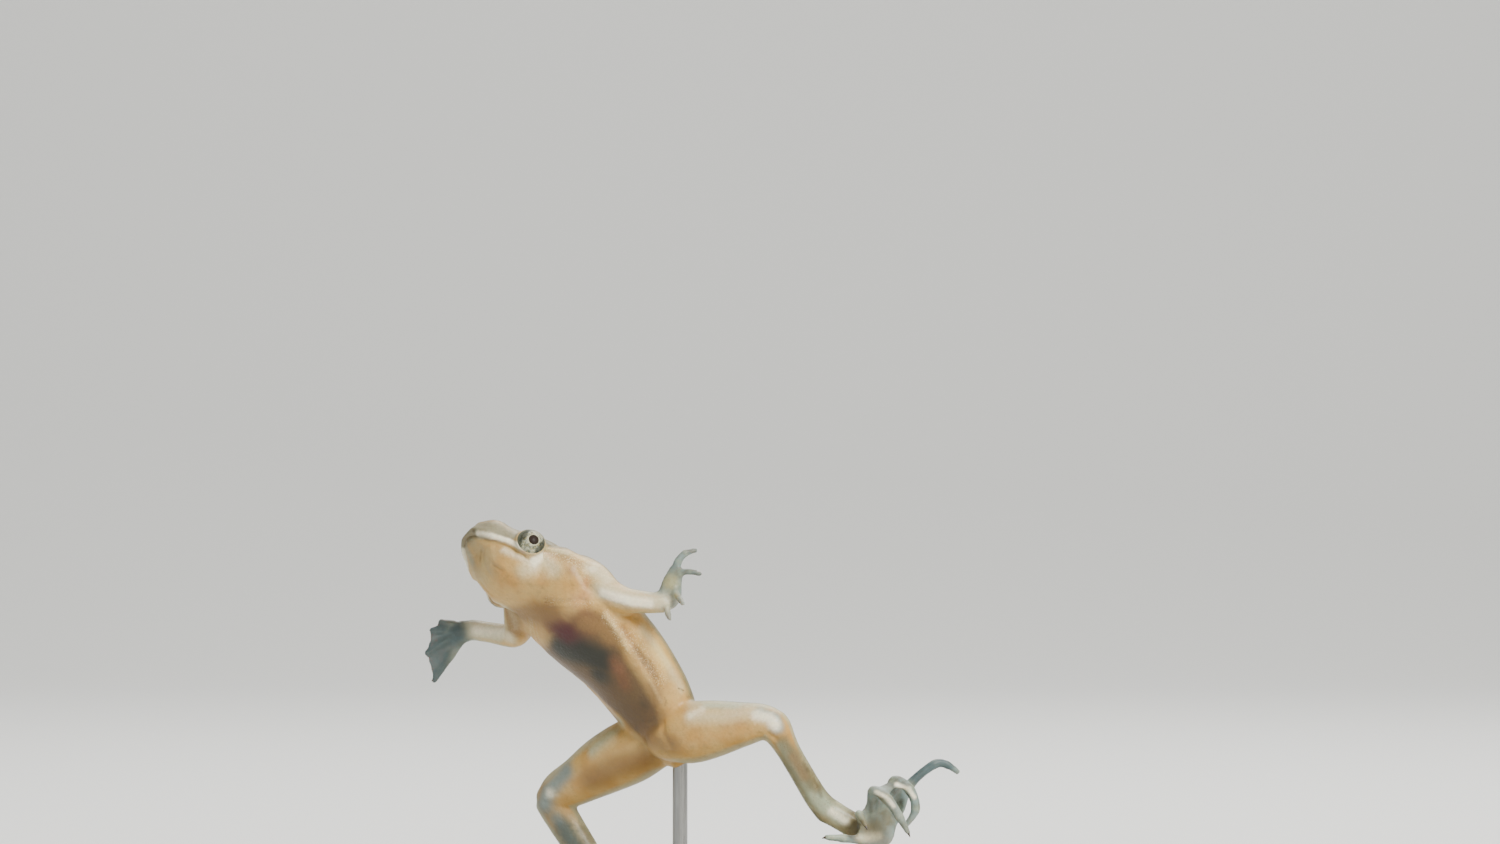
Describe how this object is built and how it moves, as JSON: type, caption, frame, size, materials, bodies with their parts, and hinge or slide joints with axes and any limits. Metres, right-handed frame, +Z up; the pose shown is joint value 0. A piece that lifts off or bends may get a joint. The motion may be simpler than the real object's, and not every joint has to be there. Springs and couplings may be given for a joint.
{
  "type": "african dwarf frog",
  "caption": "Life-size still model of an African dwarf frog swimming, legs kicked out and toes webbed, on a plain round display stand.",
  "frame": {"origin": "centre of the display stand's flat underside", "axes": "+Z up, +X to the right of the front view that shows the frog's belly, +Y away from that view"},
  "size_m": [0.0539, 0.052, 0.0542],
  "materials": {
    "skin": "moist thin skin, golden tan with grey, maroon and olive areas, satin sheen",
    "eye": "glossy, mottled silver grey iris round a dark pupil",
    "claw": "small glossy black claws on the three inner toes of each hind foot",
    "stand_wood": "dark stained close-grained wood, satin",
    "stand_metal": "brushed steel rod and collar"
  },
  "bodies": {
    "root": {"head": "skin", "lower_jaw": "skin", "torso": "skin", "eye_left": "eye", "eye_right": "eye", "upper_arm_left": "skin", "forearm_left": "skin", "hand_left": "skin", "upper_arm_right": "skin", "forearm_right": "skin", "hand_right": "skin", "thigh_left": "skin", "shank_left": "skin", "tarsus_left": "skin", "foot_left": "skin", "thigh_right": "skin", "shank_right": "skin", "tarsus_right": "skin", "foot_right": "skin", "stand_base": "stand_wood", "stand_collar": "stand_metal", "stand_rod": "stand_metal"}
  },
  "joints": []
}
